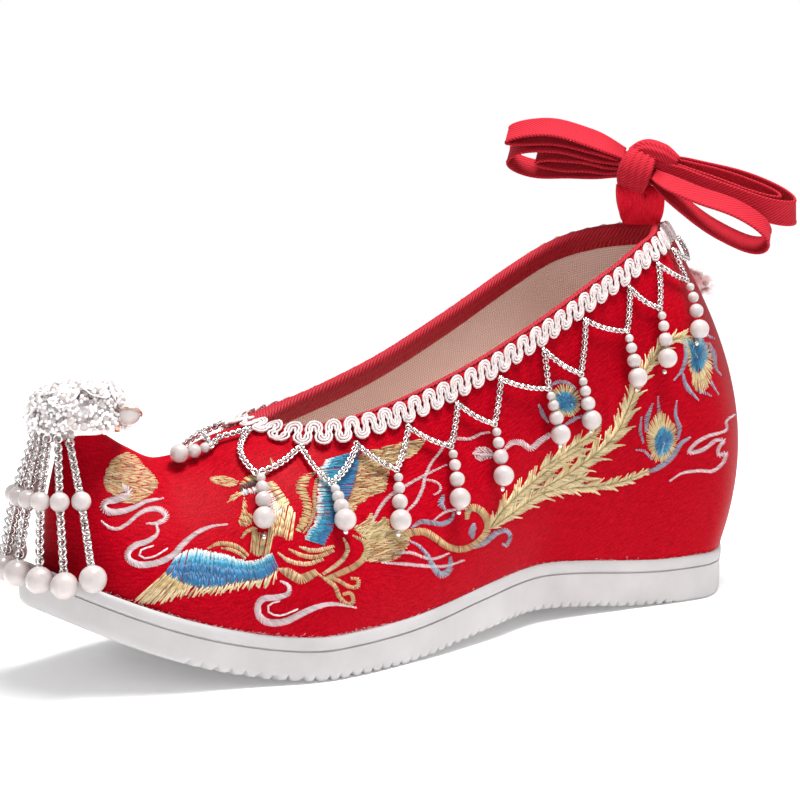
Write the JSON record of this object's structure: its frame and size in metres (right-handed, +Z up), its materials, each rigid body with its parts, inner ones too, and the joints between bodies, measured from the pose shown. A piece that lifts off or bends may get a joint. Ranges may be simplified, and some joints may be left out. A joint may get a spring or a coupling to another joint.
{
  "type": "embroidered wedding shoe",
  "caption": "Slip-on wedding shoe with an upturned toe, hidden heel wedge, braided collar, chain swags with pearl drops, a beaded toe tassel and a ribbon bow at the heel.",
  "frame": {"origin": "on the floor under the middle of the whole shoe's bounding box", "axes": "toe towards -X, heel towards +X, the wearer's inner side towards -Y, +Z up"},
  "size_m": [0.263, 0.0856, 0.1536],
  "materials": {
    "white_rubber": "matt moulded",
    "red_satin": "satin weave",
    "beige_lining": "plain weave",
    "red_binding": "corded tape",
    "white_gimp": "twisted cord braid",
    "silver_chain": "polished",
    "ivory_pearl": "pearlised",
    "clear_beads": "translucent",
    "red_tape": "twill tape"
  },
  "bodies": {
    "root": {"outsole": "white_rubber", "upper": "red_satin", "insole": "beige_lining", "collar_binding": "red_binding", "collar_braid": "white_gimp", "toe_rosette": "clear_beads", "heel_flower": "ivory_pearl", "throat_drop": "ivory_pearl", "heel_loop": "red_satin", "ribbon_pass": "red_tape", "bow_knot": "red_tape", "bow_loop_left_top": "red_tape", "bow_loop_left_middle": "red_tape", "bow_loop_left_low": "red_tape", "bow_loop_right_back": "red_tape", "bow_loop_right_middle": "red_tape", "bow_loop_right_front": "red_tape", "chain_swag_near": "silver_chain", "chain_swag_far": "silver_chain", "tassel_strand_near_1": "silver_chain", "tassel_strand_near_2": "silver_chain", "tassel_strand_near_3": "silver_chain", "tassel_strand_near_4": "silver_chain", "tassel_strand_far_1": "silver_chain", "tassel_strand_far_2": "silver_chain", "tassel_strand_far_3": "silver_chain", "tassel_strand_far_4": "silver_chain", "pearl_drop_near_01": "ivory_pearl", "pearl_drop_near_02": "ivory_pearl", "pearl_drop_near_03": "ivory_pearl", "pearl_drop_near_04": "ivory_pearl", "pearl_drop_near_05": "ivory_pearl", "pearl_drop_near_06": "ivory_pearl", "pearl_drop_near_07": "ivory_pearl", "pearl_drop_near_08": "ivory_pearl", "pearl_drop_near_09": "ivory_pearl", "pearl_drop_near_10": "ivory_pearl", "pearl_drop_far_01": "ivory_pearl", "pearl_drop_far_02": "ivory_pearl", "pearl_drop_far_03": "ivory_pearl", "pearl_drop_far_04": "ivory_pearl", "pearl_drop_far_05": "ivory_pearl", "pearl_drop_far_06": "ivory_pearl", "pearl_drop_far_07": "ivory_pearl", "pearl_drop_far_08": "ivory_pearl", "pearl_drop_far_09": "ivory_pearl", "pearl_drop_far_10": "ivory_pearl"}
  },
  "joints": []
}
